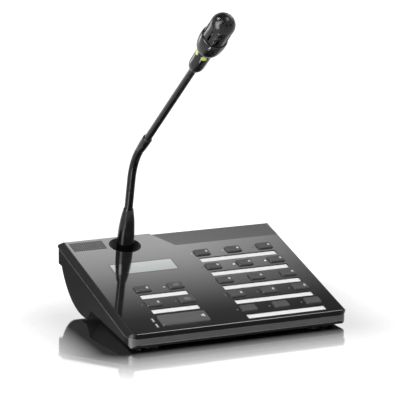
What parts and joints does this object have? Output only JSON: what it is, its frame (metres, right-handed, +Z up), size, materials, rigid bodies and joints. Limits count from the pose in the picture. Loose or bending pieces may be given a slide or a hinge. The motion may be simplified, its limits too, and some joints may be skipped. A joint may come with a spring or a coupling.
{
  "type": "paging call station",
  "caption": "Sloping desk console with sprung zone, function and talk keys, a display, a small loudspeaker and a lit microphone on a bendable neck, for making announcements.",
  "frame": {"origin": "on the desk, on the console's middle plane, midway between the console's back and the microphone's tip at rest", "axes": "+X to the operator's right, +Y to the back of the console, +Z up"},
  "size_m": [0.23, 0.2392, 0.325],
  "materials": {
    "black_gloss": "polished black plastic",
    "grey_satin": "fine-textured dark grey plastic",
    "black_satin": "satin black plastic",
    "grey_plastic": "moulded grey plastic",
    "key_grey": "satin dark grey key plastic",
    "key_light": "satin mid grey key plastic",
    "rubber": "moulded black rubber",
    "neck_black": "satin black sleeve over wound steel",
    "tube_black": "satin black paint on steel tube",
    "dark_metal": "black plated sheet steel",
    "steel": "zinc plated steel",
    "paper_black": "pressed black paper",
    "board": "solder-masked glass fibre board",
    "clear": "clear moulded plastic",
    "lcd": "pale grey display glass",
    "label_white": "plain white paper",
    "lamp_off": "unlit clear lamp lens",
    "lamp_yellow": "pale yellow lamp lens",
    "lamp_green": "lit green lamp ring"
  },
  "bodies": {
    "console": {"top_shell": "black_gloss", "bottom_shell": "grey_satin", "rubber_feet": "rubber", "housing_screws": "steel", "speaker_grille": "black_satin", "speaker_frame": "dark_metal", "speaker_cone": "paper_black", "speaker_magnet": "dark_metal", "main_board": "board", "board_screws": "steel", "key_switches": "grey_plastic", "line_jack": "black_satin", "display_window": "clear", "lcd_glass": "lcd", "lcd_frame": "dark_metal", "zone_labels": "label_white", "zone_label_covers": "clear", "function_labels": "label_white", "function_label_covers": "clear", "key_lamps": "lamp_off", "talk_lamps": "lamp_yellow", "neck_socket": "black_satin", "neck_plug": "steel", "neck_boot": "rubber", "flex_neck_lower": "neck_black"},
    "zone_key_1": {"zone_key_1": "key_grey"},
    "zone_key_2": {"zone_key_2": "key_grey"},
    "zone_key_3": {"zone_key_3": "key_grey"},
    "zone_key_4": {"zone_key_4": "key_grey"},
    "zone_key_5": {"zone_key_5": "key_grey"},
    "zone_key_6": {"zone_key_6": "key_grey"},
    "zone_key_7": {"zone_key_7": "key_grey"},
    "zone_key_8": {"zone_key_8": "key_grey"},
    "zone_key_9": {"zone_key_9": "key_grey"},
    "zone_key_10": {"zone_key_10": "key_grey"},
    "zone_key_11": {"zone_key_11": "key_grey"},
    "zone_key_12": {"zone_key_12": "key_grey"},
    "zone_key_13": {"zone_key_13": "key_grey"},
    "zone_key_14": {"zone_key_14": "key_grey"},
    "zone_key_15": {"zone_key_15": "key_grey"},
    "function_key_1": {"function_key_1": "key_grey"},
    "function_key_2": {"function_key_2": "key_grey"},
    "function_key_3": {"function_key_3": "key_grey"},
    "function_key_4": {"function_key_4": "key_grey"},
    "talk_key": {"talk_key": "key_light"},
    "neck_middle": {"flex_neck_upper": "neck_black"},
    "mic_arm": {"neck_coupling": "black_satin", "neck_tube": "tube_black", "light_cup": "black_satin", "light_ring": "lamp_green", "mic_cup": "black_satin", "mic_grille": "black_satin", "mic_capsule": "steel", "capsule_mount": "rubber"}
  },
  "joints": [
    {"name": "zone_key_1_press", "type": "slide", "parent": "console", "child": "zone_key_1", "axis": [0, 0.225, -0.9744], "range_m": [0, 0.001], "stiffness_N_per_m": 600, "springref_m": -0.001},
    {"name": "zone_key_2_press", "type": "slide", "parent": "console", "child": "zone_key_2", "axis": [0, 0.225, -0.9744], "range_m": [0, 0.001], "stiffness_N_per_m": 600, "springref_m": -0.001},
    {"name": "zone_key_3_press", "type": "slide", "parent": "console", "child": "zone_key_3", "axis": [0, 0.225, -0.9744], "range_m": [0, 0.001], "stiffness_N_per_m": 600, "springref_m": -0.001},
    {"name": "zone_key_4_press", "type": "slide", "parent": "console", "child": "zone_key_4", "axis": [0, 0.225, -0.9744], "range_m": [0, 0.001], "stiffness_N_per_m": 600, "springref_m": -0.001},
    {"name": "zone_key_5_press", "type": "slide", "parent": "console", "child": "zone_key_5", "axis": [0, 0.225, -0.9744], "range_m": [0, 0.001], "stiffness_N_per_m": 600, "springref_m": -0.001},
    {"name": "zone_key_6_press", "type": "slide", "parent": "console", "child": "zone_key_6", "axis": [0, 0.225, -0.9744], "range_m": [0, 0.001], "stiffness_N_per_m": 600, "springref_m": -0.001},
    {"name": "zone_key_7_press", "type": "slide", "parent": "console", "child": "zone_key_7", "axis": [0, 0.225, -0.9744], "range_m": [0, 0.001], "stiffness_N_per_m": 600, "springref_m": -0.001},
    {"name": "zone_key_8_press", "type": "slide", "parent": "console", "child": "zone_key_8", "axis": [0, 0.225, -0.9744], "range_m": [0, 0.001], "stiffness_N_per_m": 600, "springref_m": -0.001},
    {"name": "zone_key_9_press", "type": "slide", "parent": "console", "child": "zone_key_9", "axis": [0, 0.225, -0.9744], "range_m": [0, 0.001], "stiffness_N_per_m": 600, "springref_m": -0.001},
    {"name": "zone_key_10_press", "type": "slide", "parent": "console", "child": "zone_key_10", "axis": [0, 0.225, -0.9744], "range_m": [0, 0.001], "stiffness_N_per_m": 600, "springref_m": -0.001},
    {"name": "zone_key_11_press", "type": "slide", "parent": "console", "child": "zone_key_11", "axis": [0, 0.225, -0.9744], "range_m": [0, 0.001], "stiffness_N_per_m": 600, "springref_m": -0.001},
    {"name": "zone_key_12_press", "type": "slide", "parent": "console", "child": "zone_key_12", "axis": [0, 0.225, -0.9744], "range_m": [0, 0.001], "stiffness_N_per_m": 600, "springref_m": -0.001},
    {"name": "zone_key_13_press", "type": "slide", "parent": "console", "child": "zone_key_13", "axis": [0, 0.225, -0.9744], "range_m": [0, 0.001], "stiffness_N_per_m": 600, "springref_m": -0.001},
    {"name": "zone_key_14_press", "type": "slide", "parent": "console", "child": "zone_key_14", "axis": [0, 0.225, -0.9744], "range_m": [0, 0.001], "stiffness_N_per_m": 600, "springref_m": -0.001},
    {"name": "zone_key_15_press", "type": "slide", "parent": "console", "child": "zone_key_15", "axis": [0, 0.225, -0.9744], "range_m": [0, 0.001], "stiffness_N_per_m": 600, "springref_m": -0.001},
    {"name": "function_key_1_press", "type": "slide", "parent": "console", "child": "function_key_1", "axis": [0, 0.225, -0.9744], "range_m": [0, 0.001], "stiffness_N_per_m": 600, "springref_m": -0.001},
    {"name": "function_key_2_press", "type": "slide", "parent": "console", "child": "function_key_2", "axis": [0, 0.225, -0.9744], "range_m": [0, 0.001], "stiffness_N_per_m": 600, "springref_m": -0.001},
    {"name": "function_key_3_press", "type": "slide", "parent": "console", "child": "function_key_3", "axis": [0, 0.225, -0.9744], "range_m": [0, 0.001], "stiffness_N_per_m": 600, "springref_m": -0.001},
    {"name": "function_key_4_press", "type": "slide", "parent": "console", "child": "function_key_4", "axis": [0, 0.225, -0.9744], "range_m": [0, 0.001], "stiffness_N_per_m": 600, "springref_m": -0.001},
    {"name": "talk_key_press", "type": "slide", "parent": "console", "child": "talk_key", "axis": [0, 0.225, -0.9744], "range_m": [0, 0.001], "stiffness_N_per_m": 900, "springref_m": -0.001},
    {"name": "neck_lean", "type": "hinge", "parent": "console", "child": "neck_middle", "pos_m": [-0.0518, 0.08227, 0.11395], "axis": [0.9962, 0.0849, 0.0196], "range_deg": [-40, 25], "deforming": ["flex_neck_lower"]},
    {"name": "neck_sway", "type": "hinge", "parent": "neck_middle", "child": "mic_arm", "pos_m": [-0.05146, 0.07037, 0.14829], "axis": [-0.0822, 0.8402, 0.536], "range_deg": [-35, 35], "deforming": ["flex_neck_upper"]}
  ]
}
